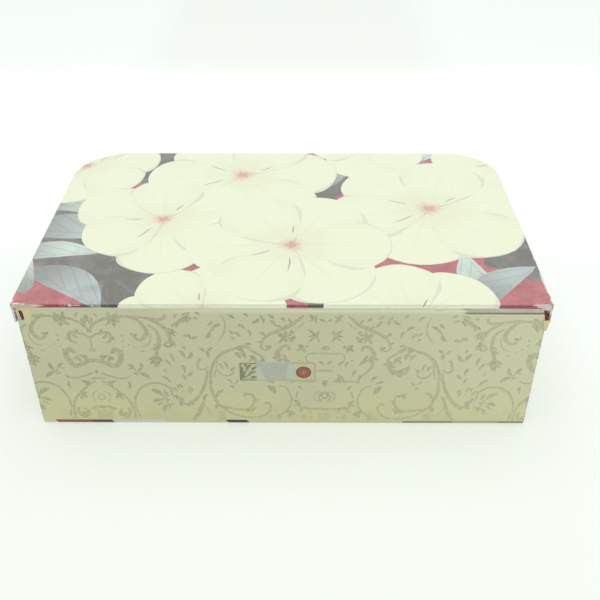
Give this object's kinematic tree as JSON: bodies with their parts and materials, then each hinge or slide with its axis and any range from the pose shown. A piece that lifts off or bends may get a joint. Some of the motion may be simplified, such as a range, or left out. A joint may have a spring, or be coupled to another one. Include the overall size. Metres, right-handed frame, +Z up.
{
  "type": "keepsake box",
  "caption": "Hinged board box covered in printed paper, rounded front corners and a shallow rimmed lid, for papers, sewing things and keepsakes.",
  "frame": {"origin": "middle of the closed box in plan, on the table under it", "axes": "+X to the right along the hinge, +Y from the hinge to the opening side, +Z up"},
  "size_m": [0.254, 0.1595, 0.0775],
  "materials": {
    "greyboard": "bare pressed grey board",
    "card": "thin bent card",
    "stay_paper": "gummed paper tape",
    "scroll_paper": "satin coated paper with a tone-on-tone scroll print",
    "floral_paper": "glossy coated paper with a printed floral pattern",
    "lining_paper": "plain matt lining paper",
    "hinge_paper": "dark red pasted hinge strip, matt",
    "label_paper": "small printed label, no text",
    "seal_paper": "plain round red seal"
  },
  "bodies": {
    "tray": {"base_board": "greyboard", "rear_wall": "greyboard", "side_wall": "greyboard", "corner_stay_left": "stay_paper", "corner_stay_right": "stay_paper", "base_paper": "floral_paper", "tray_wrap": "scroll_paper", "wall_lining": "lining_paper", "floor_lining": "lining_paper", "label": "label_paper", "label_seal": "seal_paper", "hinge_strip": "hinge_paper", "hinge_lining": "hinge_paper"},
    "lid": {"lid_board": "greyboard", "lid_rim": "card", "lid_paper": "floral_paper", "lid_lining": "lining_paper"}
  },
  "joints": [
    {"name": "lid_hinge", "type": "hinge", "parent": "tray", "child": "lid", "pos_m": [0, -0.07995, 0.07462], "axis": [1, 0, 0], "range_deg": [0, 180], "deforming": ["hinge_strip", "hinge_lining"]}
  ]
}
